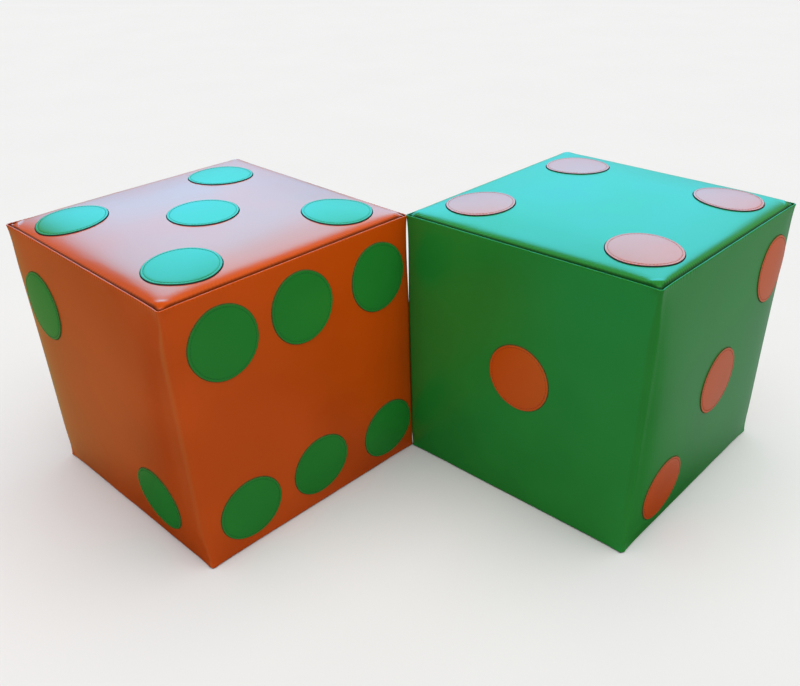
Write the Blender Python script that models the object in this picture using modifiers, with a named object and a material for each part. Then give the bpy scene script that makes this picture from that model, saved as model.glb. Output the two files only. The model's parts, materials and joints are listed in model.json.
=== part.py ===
"""A pair of giant soft dice, one orange with green pips and one green with orange pips.

Each die is a foam block in a sewn vinyl cover: one band wrapped round the four sides, an end
panel sewn in at the top and the bottom, sewn-on pips and a zip low on one side, through which
the foam goes in. The dice stand corner to corner on the plane z = 0. Units are metres.
"""

import math

import bmesh
import bpy
from mathutils import Matrix, Vector

# Driving dimensions
SIDE = 0.400  # a die from seam to seam, along, across and up
PIP_DIAMETER = 0.099
PIP_SPREAD = 0.131  # from the middle of a face to a row of pips
CROWN = 0.014  # how far the upper panel swells above its seam
CROWN_POWER = 6  # flat in the middle, rolling down close to the seam
CORNER_RADIUS = 0.008
ORANGE_PLACE = (-0.2825, 44.5)  # place along X, and turn about Z in degrees
GREEN_PLACE = (0.2825, 45.8)

# Sheet, clearances and seams
SKIN = 0.001
TOUCH = 0.0003  # between pieces that touch
PIP_STANDS = TOUCH + SKIN  # outer face of a pip above the cover
FOLD_RADIUS = 0.0016
SEAM_ALLOWANCE = 0.006
SEAM_GROOVE = 0.0006  # the upper panel starts this far below the fold of the band
JOIN_GAP = 0.0004  # between the two ends of the band
PANEL_INSET = 2 * FOLD_RADIUS + TOUCH
PANEL_CORNER = CORNER_RADIUS - PANEL_INSET
FOAM_INSET = 0.0022
FOAM_EDGE_INSET = PANEL_INSET + SKIN + TOUCH
FOAM_EDGE_ABOVE = 0.0075  # height of the narrower edge of the foam, at the top
FOAM_EDGE_BELOW = 0.0170  # and at the bottom, where it clears the zip
FOAM_UNDER_PANEL = SKIN + 2 * TOUCH  # straight down, below the sloping edge of the panel too

# Levels
BODY_BOTTOM = PIP_STANDS
BODY_TOP = BODY_BOTTOM + SIDE
PANEL_RIM = BODY_TOP - SEAM_GROOVE

# Zip, in the frame of its face: X along the face, Y up, Z outward, from the middle of the chain
ZIP_LEVEL = BODY_BOTTOM + 0.0115
CHAIN_LENGTH = 0.326
SLOT_LENGTH = CHAIN_LENGTH + 0.004
SLOT_HALF = 0.0033
BEAD_FROM, BEAD_TO = 0.0006, 0.0029
BEAD_STANDS = 0.0004
TAPE_THICKNESS = 0.0006
TAPE_ABOVE = 0.0130
TAPE_BELOW = 0.0085
TAPE_END = 0.006  # tape beyond the chain at each end
SLIDER_LENGTH = 0.012
SLIDER_HALF = 0.0043
SLIDER_PLATE = 0.0013
SLIDER_WING = 0.001  # the plate behind the tapes
NECK_HALF = 0.0003
SLIDER_START = -0.155
STOP_PLACE = 0.1595
STOP_LENGTH = 0.003
BRIDGE_CLEAR = 0.0017  # room for the bar of the pull under the bridge
BRIDGE_BAR = 0.0008
BRIDGE_HALF_LENGTH = 0.0042
BRIDGE_HALF = 0.0009
PULL_LENGTH = 0.030
PULL_HALF = 0.0032
PULL_BAR = 0.001
PULL_WINDOW = 0.0054
PULL_WINDOW_HALF = 0.0014

# Facets
ARC_STEPS = 5
FOLD_STEPS = 4
PIP_SEGMENTS = 24
PANEL_LINES = (0.0, 0.5, 0.68, 0.8, 0.88, 0.94, 1.0)  # closer together where the panel rolls down

# Pips of each number seen from outside: steps to the right and up, in units of PIP_SPREAD
CORNERS = [(-1, 1), (1, 1), (-1, -1), (1, -1)]
PIPS = {
    "one": [(0, 0)],
    "two": [(-1, 1), (1, -1)],
    "three": [(1, 1), (0, 0), (-1, -1)],
    "four": CORNERS,
    "five": CORNERS + [(0, 0)],
    "six": [(across, up) for up in (1, -1) for across in (-1, 0, 1)],
}

# Pips sewn on by eye, off their places on these numbers: to the right and up, in the same order
NUDGES = {
    ("orange", "five"): [
        (-0.006, -0.007), (-0.022, -0.013), (0.008, 0), (-0.003, -0.002), (-0.006, -0.004),
    ],
    ("orange", "six"): [
        (0.005, 0), (-0.004, 0.002), (0, -0.002), (0.006, -0.002), (0, 0.003), (0.006, -0.003),
    ],
    ("orange", "two"): [(0.011, -0.030), (-0.029, 0.007)],
    ("green", "four"): [(0.015, 0.001), (-0.011, -0.008), (0.009, -0.002), (-0.001, 0.004)],
    ("green", "one"): [(0.014, 0.016)],
    ("green", "three"): [(0.007, -0.012), (0.003, -0.007), (0.014, 0)],
}

# The number on each side, by the direction of the side's outward normal in degrees
ORANGE_SIDES = {180: "two", 270: "six", 0: "three", 90: "one"}
GREEN_SIDES = {180: "one", 270: "three", 0: "six", 90: "two"}


def clear_scene():
    for thing in list(bpy.data.objects):
        bpy.data.objects.remove(thing, do_unlink=True)


def new_collection(name):
    made = bpy.data.collections.new(name)
    bpy.context.scene.collection.children.link(made)
    return made


def material(name, color, roughness, metallic=0.0):
    made = bpy.data.materials.new(name)
    made.use_nodes = True
    shader = made.node_tree.nodes["Principled BSDF"]
    shader.inputs["Base Color"].default_value = (*color, 1.0)
    shader.inputs["Roughness"].default_value = roughness
    shader.inputs["Metallic"].default_value = metallic
    made.diffuse_color = (*color, 1.0)
    return made


def add_object(name, bm, collection, finish=None, parent=None, place=None):
    """Turns a bmesh into a named object at a place in its parent's frame."""
    mesh = bpy.data.meshes.new(name)
    bm.to_mesh(mesh)
    bm.free()
    if finish:
        mesh.materials.append(finish)
    mesh.shade_smooth()
    mesh.set_sharp_from_angle(angle=math.radians(35))
    thing = bpy.data.objects.new(name, mesh)
    collection.objects.link(thing)
    thing.parent = parent
    thing.matrix_local = place or Matrix.Identity(4)
    return thing


def add_empty(name, collection, place, parent=None):
    thing = bpy.data.objects.new(name, None)
    thing.empty_display_size = 0.05
    collection.objects.link(thing)
    thing.parent = parent
    thing.matrix_local = place
    return thing


def box_mesh(low, high):
    bm = bmesh.new()
    bmesh.ops.create_cube(bm, size=1.0)
    low, high = Vector(low), Vector(high)
    bmesh.ops.scale(bm, vec=high - low, verts=bm.verts)
    bmesh.ops.translate(bm, vec=(low + high) / 2, verts=bm.verts)
    return bm


def boolean(thing, operation, name, bm):
    """Joins a hidden piece to an object, or cuts it away. Both have the same frame."""
    helper = add_object(f"{thing.name}_{name}", bm, helpers, None, thing.parent, thing.matrix_basis)
    helper.hide_render = True
    helper.display_type = "WIRE"
    modifier = thing.modifiers.new(name, "BOOLEAN")
    modifier.operation = operation
    modifier.solver = "EXACT"
    modifier.object = helper


def soften(thing, width):
    modifier = thing.modifiers.new("soften", "BEVEL")
    modifier.width = width
    modifier.segments = 2


def thicken(thing):
    """Gives an open sheet the thickness of the vinyl, on its inner side."""
    modifier = thing.modifiers.new("thickness", "SOLIDIFY")
    modifier.thickness = SKIN
    modifier.offset = -1.0
    modifier.use_even_offset = True


def frame(right, up, outward, origin):
    made = Matrix((right, up, outward)).transposed().to_4x4()
    made.translation = origin
    return made


def side_frame(normal_degrees, level):
    """Frame of a side: X to the right seen from outside, Y up, Z outward."""
    angle = math.radians(normal_degrees)
    outward = Vector((math.cos(angle), math.sin(angle), 0))
    right = Vector((-math.sin(angle), math.cos(angle), 0))
    return frame(right, (0, 0, 1), outward, outward * SIDE / 2 + Vector((0, 0, level)))


def crown(x, y):
    """Height of the upper panel above its rim."""
    half = SIDE / 2 - PANEL_INSET
    along, across = [max(0.0, 1 - abs(at / half) ** CROWN_POWER) for at in (x, y)]
    return CROWN * along * across


def grid_mesh(columns, rows, point):
    """A grid of faces whose corners are point(column, row), counted from 0."""
    bm = bmesh.new()
    bmesh.ops.create_grid(bm, x_segments=columns, y_segments=rows, size=1.0)
    for vert in bm.verts:
        column = round((vert.co.x + 1) / 2 * columns)
        row = round((vert.co.y + 1) / 2 * rows)
        vert.co = point(column, row)
    return bm


def rounded_square(half, corner, lines, height):
    """A square sheet with rounded corners, at height(x, y), and its boundary edges."""
    marks = [-line for line in lines[:0:-1]] + list(lines) if len(lines) > 1 else [-1.0, 1.0]
    cells = len(marks) - 1
    bm = grid_mesh(cells, cells, lambda i, j: Vector((marks[i] * half, marks[j] * half, 0)))
    tips = [vert for vert in bm.verts if len(vert.link_edges) == 2]
    bmesh.ops.bevel(
        bm, geom=tips, offset=corner, segments=3, profile=0.5, affect="VERTICES"
    )
    for vert in bm.verts:
        vert.co.z = height(vert.co.x, vert.co.y)
    return bm, [edge for edge in bm.edges if edge.is_boundary]


def extend(bm, edges, scale, level):
    """Extrudes a sheet's boundary to a level, scaled in plan, and returns the new boundary."""
    made = bmesh.ops.extrude_edge_only(bm, edges=edges)["geom"]
    for vert in made:
        if isinstance(vert, bmesh.types.BMVert):
            vert.co = Vector((vert.co.x * scale, vert.co.y * scale, level))
    return [edge for edge in made if isinstance(edge, bmesh.types.BMEdge) and edge.is_boundary]


def band_path():
    """Corner centres and headings anticlockwise round the die, from the join and back to it."""
    path = []
    middle = (SIDE / 2 - CORNER_RADIUS) * math.sqrt(2)
    for corner in range(5):
        quarter = 135 + 90 * corner
        first = quarter - 45 * (corner > 0)
        last = quarter + 45 * (corner < 4)
        angle = math.radians(quarter)
        centre = Vector((math.cos(angle), math.sin(angle), 0)) * middle
        for step in range(ARC_STEPS + 1):
            path.append((centre, math.radians(first + (last - first) * step / ARC_STEPS)))
    return path


def band_profile():
    """Inset and level up the band's outer face: allowance, fold, wall, fold, allowance."""
    lower = []
    for step in range(FOLD_STEPS + 1):
        angle = math.pi * step / FOLD_STEPS
        inset = FOLD_RADIUS * (1 + math.cos(angle))
        lower.append((inset, FOLD_RADIUS * (1 - math.sin(angle))))
    lower.insert(0, (2 * FOLD_RADIUS, SEAM_ALLOWANCE))
    upper = [(inset, SIDE - level) for inset, level in reversed(lower)]
    return [(inset, BODY_BOTTOM + level) for inset, level in lower + upper]


def side_band(name, finish, die, zip_side):
    """The strip of vinyl round the four sides, its edges folded in at the seams."""
    path = band_path()
    profile = band_profile()

    def point(column, row):
        centre, heading = path[column]
        inset, level = profile[row]
        ahead = Vector((-math.sin(heading), math.cos(heading), 0))
        out = Vector((math.cos(heading), math.sin(heading), 0))
        ends = (column == 0) - (column == len(path) - 1)
        at = centre + out * (CORNER_RADIUS - inset) + ahead * ends * JOIN_GAP / 2
        return at + Vector((0, 0, level))

    bm = grid_mesh(len(path) - 1, len(profile) - 1, point)
    band = add_object(name, bm, parts, finish, die)
    thicken(band)
    slot = box_mesh((-SLOT_LENGTH / 2, -SLOT_HALF, -2 * SKIN), (SLOT_LENGTH / 2, SLOT_HALF, SKIN))
    slot.transform(side_frame(zip_side, ZIP_LEVEL))
    boolean(band, "DIFFERENCE", "zip_slot", slot)


def end_panel(name, finish, die, upper):
    """A square panel whose edge is turned in for the seam. The upper one is swollen by the foam."""
    lines = PANEL_LINES if upper else PANEL_LINES[:1]
    height = crown if upper else lambda x, y: 0.0
    bm, rim = rounded_square(SIDE / 2 - PANEL_INSET, PANEL_CORNER, lines, height)
    extend(bm, rim, 1.0, -SEAM_ALLOWANCE)
    bmesh.ops.recalc_face_normals(bm, faces=bm.faces)
    top = max(bm.faces, key=lambda face: face.calc_center_median().z)
    if top.normal.z < 0:
        bmesh.ops.reverse_faces(bm, faces=bm.faces)
    level = PANEL_RIM if upper else BODY_BOTTOM
    place = Matrix.Translation((0, 0, level))
    if not upper:
        place = place @ Matrix.Rotation(math.pi, 4, "X")
    thicken(add_object(name, bm, parts, finish, die, place))


def foam_core(name, die):
    """The block inside, narrower along its edges where the seam allowances lie."""
    half = SIDE / 2 - FOAM_EDGE_INSET
    wider = (SIDE / 2 - FOAM_INSET) / half
    corner = PANEL_CORNER + TOUCH
    rim = PANEL_RIM - FOAM_UNDER_PANEL
    bm, edges = rounded_square(half, corner, PANEL_LINES, lambda x, y: rim + crown(x, y))
    edges = extend(bm, edges, 1.0, BODY_TOP - FOAM_EDGE_ABOVE)
    edges = extend(bm, edges, wider, BODY_TOP - FOAM_EDGE_ABOVE)
    edges = extend(bm, edges, 1.0, BODY_BOTTOM + FOAM_EDGE_BELOW)
    edges = extend(bm, edges, 1 / wider, BODY_BOTTOM + FOAM_EDGE_BELOW)
    edges = extend(bm, edges, 1.0, BODY_BOTTOM + SKIN + TOUCH)
    bmesh.ops.holes_fill(bm, edges=edges, sides=0)
    bmesh.ops.recalc_face_normals(bm, faces=bm.faces)
    add_object(name, bm, parts, foam, die)


def pip(name, finish, die, face, x, y, crowned):
    """A disc of vinyl sewn on the face at (x, y). On the upper panel it follows the swell."""
    bm = bmesh.new()
    bmesh.ops.create_cone(
        bm,
        cap_ends=True,
        cap_tris=True,
        segments=PIP_SEGMENTS,
        radius1=PIP_DIAMETER / 2,
        radius2=PIP_DIAMETER / 2,
        depth=SKIN,
    )
    if crowned:
        hubs = [vert for vert in bm.verts if vert.co.xy.length < TOUCH]
        spokes = [edge for hub in hubs for edge in hub.link_edges]
        bmesh.ops.subdivide_edges(bm, edges=spokes, cuts=2, use_grid_fill=True)
    for vert in bm.verts:
        swell = crown(x + vert.co.x, y + vert.co.y) if crowned else 0.0
        vert.co.z += TOUCH + SKIN / 2 + swell
    add_object(name, bm, parts, finish, die, face @ Matrix.Translation((x, y, 0)))


def number(prefix, word, finish, die, face, crowned=False):
    steps = PIPS[word]
    nudges = NUDGES.get((prefix, word), [(0, 0)] * len(steps))
    for count, ((across, up), (right, above)) in enumerate(zip(steps, nudges), start=1):
        x = across * PIP_SPREAD + right
        y = up * PIP_SPREAD + above
        pip(f"{prefix}_pip_{word}_{count}", finish, die, face, x, y, crowned)


def zip_tape(name, die, face, side):
    """Half of the zip: a tape behind the slot with its coil along the edge. side is 1 or -1."""
    behind = -SKIN - TOUCH
    far = TAPE_ABOVE if side > 0 else TAPE_BELOW
    near = BEAD_FROM + TOUCH / 2
    half = CHAIN_LENGTH / 2
    low, high = sorted((side * near, side * far))
    bm = box_mesh((-half - TAPE_END, low, behind - TAPE_THICKNESS), (half + TAPE_END, high, behind))
    tape = add_object(name, bm, parts, webbing, die, face)
    low, high = sorted((side * BEAD_FROM, side * BEAD_TO))
    coil = box_mesh((-half, low, behind - TAPE_THICKNESS / 2), (half, high, BEAD_STANDS))
    boolean(tape, "UNION", "coil", coil)


def zip_stop(name, die, face):
    """A crimp over the end of the chain, with a blade between the two coils."""
    low = STOP_PLACE - STOP_LENGTH / 2
    high = STOP_PLACE + STOP_LENGTH / 2
    front = BEAD_STANDS + TOUCH
    bm = box_mesh((low, -BEAD_TO, front), (high, BEAD_TO, front + SKIN))
    stop = add_object(name, bm, parts, zip_metal, die, face)
    blade = box_mesh((low + SKIN, -NECK_HALF, -SKIN), (high - SKIN, NECK_HALF, front + SKIN / 2))
    boolean(stop, "UNION", "blade", blade)


def zip_slider(name, die, face):
    """Front plate, neck between the coils, wing behind the tapes, and a bridge for the pull."""
    back = BEAD_STANDS + TOUCH
    front = back + SLIDER_PLATE
    half = SLIDER_LENGTH / 2
    bm = box_mesh((-half, -SLIDER_HALF, back), (half, SLIDER_HALF, front))
    place = face @ Matrix.Translation((SLIDER_START, 0, 0))
    slider = add_object(name, bm, parts, zip_metal, die, place)
    soften(slider, SLIDER_PLATE / 4)
    wing_face = -SKIN - 2 * TOUCH - TAPE_THICKNESS
    edge = SLIDER_HALF - TOUCH
    wing = box_mesh((TOUCH - half, -edge, wing_face - SLIDER_WING), (half - TOUCH, edge, wing_face))
    neck_ends = (wing_face - SLIDER_WING / 2, back + SLIDER_PLATE / 2)
    neck = box_mesh((TOUCH * 3 - half, -NECK_HALF, neck_ends[0]), (0, NECK_HALF, neck_ends[1]))
    top = front + BRIDGE_CLEAR + BRIDGE_BAR
    arch = box_mesh(
        (-BRIDGE_HALF_LENGTH, -BRIDGE_HALF, back + SLIDER_PLATE / 2),
        (BRIDGE_HALF_LENGTH, BRIDGE_HALF, top),
    )
    inside = BRIDGE_HALF_LENGTH - SKIN
    floor = front - TOUCH / 3
    tunnel = box_mesh((-inside, -2 * BRIDGE_HALF, floor), (inside, 2 * BRIDGE_HALF, top - BRIDGE_BAR))
    boolean(slider, "UNION", "neck", neck)
    boolean(slider, "UNION", "wing", wing)
    boolean(slider, "UNION", "bridge", arch)
    boolean(slider, "DIFFERENCE", "tunnel", tunnel)
    return front


def zip_pull(name, die, face, front):
    """A flat tab whose end bar turns under the slider's bridge. Its origin is on that bar."""
    pivot = front + BRIDGE_CLEAR / 2
    place = face @ Matrix.Translation((SLIDER_START, 0, pivot))
    half = PULL_BAR / 2
    bm = box_mesh((-half, -PULL_HALF, -half), (PULL_LENGTH, PULL_HALF, half))
    upright = [
        edge
        for edge in bm.edges
        if all(vert.co.x > 0 for vert in edge.verts) and edge.calc_length() < 2 * PULL_BAR
    ]
    bmesh.ops.bevel(
        bm, geom=upright, offset=PULL_HALF * 0.8, segments=4, profile=0.5, affect="EDGES"
    )
    pull = add_object(name, bm, parts, zip_metal, die, place)
    window = box_mesh(
        (half, -PULL_WINDOW_HALF, -PULL_BAR), (PULL_WINDOW, PULL_WINDOW_HALF, PULL_BAR)
    )
    eye_from, eye_to = PULL_LENGTH - 2.6 * PULL_HALF, PULL_LENGTH - PULL_HALF
    eye = box_mesh((eye_from, -PULL_HALF / 2, -PULL_BAR), (eye_to, PULL_HALF / 2, PULL_BAR))
    boolean(pull, "DIFFERENCE", "window", window)
    boolean(pull, "DIFFERENCE", "eye", eye)


def die(prefix, place, cover, spots, sides, upper, lower, zip_side):
    """One whole die. upper and lower name the numbers on its end panels."""
    x, turn = place
    stand = Matrix.Translation((x, 0, 0)) @ Matrix.Rotation(math.radians(turn), 4, "Z")
    body = add_empty(f"{prefix}_die", parts, stand)
    foam_core(f"{prefix}_foam_core", body)
    side_band(f"{prefix}_side_band", cover, body, zip_side)
    end_panel(f"{prefix}_{upper}_panel", cover, body, True)
    end_panel(f"{prefix}_{lower}_panel", cover, body, False)
    top_face = Matrix.Translation((0, 0, PANEL_RIM))
    under_face = frame((1, 0, 0), (0, -1, 0), (0, 0, -1), (0, 0, BODY_BOTTOM))
    number(prefix, upper, spots, body, top_face, crowned=True)
    number(prefix, lower, spots, body, under_face)
    for normal, word in sides.items():
        number(prefix, word, spots, body, side_frame(normal, BODY_BOTTOM + SIDE / 2))
    face = side_frame(zip_side, ZIP_LEVEL)
    zip_tape(f"{prefix}_zip_tape_upper", body, face, 1)
    zip_tape(f"{prefix}_zip_tape_lower", body, face, -1)
    zip_stop(f"{prefix}_zip_stop", body, face)
    front = zip_slider(f"{prefix}_zip_slider", body, face)
    zip_pull(f"{prefix}_zip_pull", body, face, front)


clear_scene()
parts = new_collection("giant_soft_dice")
helpers = new_collection("cutters")
helpers.hide_render = True

orange = material("orange_vinyl", (0.42, 0.075, 0.004), 0.38)
green = material("green_vinyl", (0.022, 0.16, 0.045), 0.38)
foam = material("foam", (0.80, 0.74, 0.55), 0.95)
webbing = material("zip_tape", (0.012, 0.012, 0.013), 0.9)
zip_metal = material("zip_metal", (0.62, 0.60, 0.57), 0.3, metallic=1.0)

die("orange", ORANGE_PLACE, orange, green, ORANGE_SIDES, "five", "four", zip_side=90)
die("green", GREEN_PLACE, green, orange, GREEN_SIDES, "four", "five", zip_side=0)
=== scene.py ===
"""Looks of a pair of giant soft dice: sewn vinyl covers over foam, sewn-on pips and zips.

Lengths are in metres. A die's own frame stands on the floor under the middle of the die, with X
and Y square to its sides. Its four sides are counted anticlockwise from above: 0 faces -X,
1 faces -Y, 2 faces +X and 3 faces +Y. t runs round the die from 0 to 4 in the same way.
"""

import json
import math

import bpy
import numpy as np
from mathutils import Matrix, Vector


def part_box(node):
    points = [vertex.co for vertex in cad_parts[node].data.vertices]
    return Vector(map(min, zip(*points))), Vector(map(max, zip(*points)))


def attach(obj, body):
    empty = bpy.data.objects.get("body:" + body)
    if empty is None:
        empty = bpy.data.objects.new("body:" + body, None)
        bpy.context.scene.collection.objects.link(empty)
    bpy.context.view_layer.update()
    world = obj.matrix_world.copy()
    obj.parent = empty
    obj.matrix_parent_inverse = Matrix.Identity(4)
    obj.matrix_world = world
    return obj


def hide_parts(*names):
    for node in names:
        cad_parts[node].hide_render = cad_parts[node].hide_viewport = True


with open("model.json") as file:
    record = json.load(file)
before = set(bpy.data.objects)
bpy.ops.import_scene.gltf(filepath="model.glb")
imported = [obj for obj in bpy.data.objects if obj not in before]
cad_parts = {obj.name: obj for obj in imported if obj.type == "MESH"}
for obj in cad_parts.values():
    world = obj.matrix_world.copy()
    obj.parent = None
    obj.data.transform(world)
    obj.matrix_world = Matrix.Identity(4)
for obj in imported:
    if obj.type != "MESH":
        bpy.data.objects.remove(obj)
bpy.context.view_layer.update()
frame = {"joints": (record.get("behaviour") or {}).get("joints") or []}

MM = 0.001

# Cover
CROWN_POWER = 6
BULGE = 4.5 * MM  # swell of a side
BULGE_POWER = 4
CORNER_PULL = 0.8 * MM  # how far an upright corner draws in at mid height
SEAM_CORNER = 5 * MM  # corner radius of a seam, seen from above
EAR = 1.8 * MM  # how far a seam's corner stands out
FOLD = 1.3 * MM  # radius of the folded edge of the band
SEAM_DEPTH = 4.0 * MM  # how deep the sheets run together
SEAM_INSET = 2 * FOLD + 0.3 * MM  # from the outside of the band to an end panel
RIM_BELOW = 0.5 * MM  # the upper panel starts this far below the fold
PUCKER = 5.6 * MM  # spacing of the puckers that the stitches draw in
PUCKER_HEIGHT = 0.32 * MM
GATHER = 34 * MM  # spacing of the longer gathers
GATHER_HEIGHT = 0.22 * MM

# Zip, in a straight run low on one side
ZIP_HALF_LENGTH = 164 * MM
ZIP_HALF_WIDTH = 3.3 * MM  # between the lips of the cover
ZIP_DEPTH = 1.6 * MM
ZIP_LIP = 0.9 * MM
ZIP_FLAT = 45 * MM  # the side starts to swell this far above the floor
COIL_PITCH = 1.5 * MM

# Pips
PIP_THICK = 1.4 * MM
PIP_PUFF = 0.3 * MM
PIP_THICK_BELOW = 1.2 * MM  # under the die, where the pips are pressed flat
STITCH_PITCH = 4.6 * MM
STITCH_LENGTH = 2.9 * MM
STITCH_RADIUS = 0.3 * MM
PIP_SINK = 0.4 * MM  # the edge of a pip presses into the cover

PIP_COUNTS = {"one": 1, "two": 2, "three": 3, "four": 4, "five": 5, "six": 6}
PIP_RADIUS = 49.5 * MM
PIP_SEAM = 0.93  # share of a pip's radius where it is sewn
PIP_RINGS = (0.0, 0.2, 0.4, 0.58, 0.72, 0.82, 0.88, 0.915, 0.93, 0.945, 0.965, 0.984, 0.993, 1.0)
PIP_COLUMNS = 72

# Cloth simulation
CLOTH_CELLS = 44  # along one side
CLOTH_FRAMES = 20
CLOTH_PRESSURE = 4
CLOTH_CAP = 5 * MM  # the furthest that a point may move
CLOTH_EVENING = 30  # passes that even out the end panels


# ---------------------------------------------------------------- numbers


def noise_wave(at, period, seed):
    """Smooth noise from -1 to 1 along a closed line: at is from 0 to 1, period in the same unit."""
    knots = max(4, round(1 / period))
    values = np.random.default_rng(seed).uniform(-1, 1, knots)
    place = np.mod(at, 1.0) * knots
    first = np.floor(place).astype(int) % knots
    share = place - np.floor(place)
    share = share * share * (3 - 2 * share)
    return values[first] * (1 - share) + values[(first + 1) % knots] * share


def smooth_step(share):
    share = np.clip(share, 0, 1)
    return share * share * (3 - 2 * share)


def spline_weights(share):
    """The four weights of a uniform cubic B-spline."""
    return [
        (1 - share) ** 3 / 6,
        (3 * share**3 - 6 * share**2 + 4) / 6,
        (-3 * share**3 + 3 * share**2 + 3 * share + 1) / 6,
        share**3 / 6,
    ]


class Field:
    """Vectors on a regular grid, read between its points by a cubic spline."""

    def __init__(self, grid, wrap):
        self.columns = grid.shape[0]
        self.rows = grid.shape[1]
        self.wrap = wrap
        if wrap:
            grid = np.concatenate([grid[-1:], grid, grid[:3]], axis=0)
        else:
            grid = self.beyond(grid)
        self.grid = self.beyond(grid.swapaxes(0, 1)).swapaxes(0, 1)

    @staticmethod
    def beyond(grid):
        """Adds a row past each end that carries the slope on."""
        return np.concatenate([2 * grid[:1] - grid[1:2], grid, 2 * grid[-1:] - grid[-2:-1]])

    def __call__(self, across, up):
        """across and up are from 0 to 1 over the grid."""
        span = self.columns if self.wrap else self.columns - 1
        u = np.mod(across, 1.0) * span if self.wrap else np.clip(across, 0, 1) * span
        v = np.clip(up, 0, 1) * (self.rows - 1)
        i = np.minimum(np.floor(u).astype(int), span - 1)
        j = np.minimum(np.floor(v).astype(int), self.rows - 2)
        total = 0.0
        along, upward = spline_weights(u - i), spline_weights(v - j)
        for di in range(4):
            for dj in range(4):
                total = total + (along[di] * upward[dj])[:, None] * self.grid[i + di, j + dj]
        return total


def square_point(t, half, radius):
    """Points of a rounded square and their outward normals, as (n, 2) arrays."""
    signs = np.array([(-1, 1), (-1, -1), (1, -1), (1, 1)], float)
    t = np.mod(t, 4.0)
    side = np.floor(t).astype(int) % 4
    share = (t - np.floor(t))[:, None]
    half = np.broadcast_to(half, t.shape)[:, None]
    radius = np.broadcast_to(radius, t.shape)[:, None]
    sharp = (signs[side] * (1 - share) + signs[(side + 1) % 4] * share) * half
    inner = np.clip(sharp, radius - half, half - radius)
    away = sharp - inner
    normal = away / np.linalg.norm(away, axis=1, keepdims=True)
    return inner + normal * radius, normal


# ---------------------------------------------------------------- a die's shape


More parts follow.
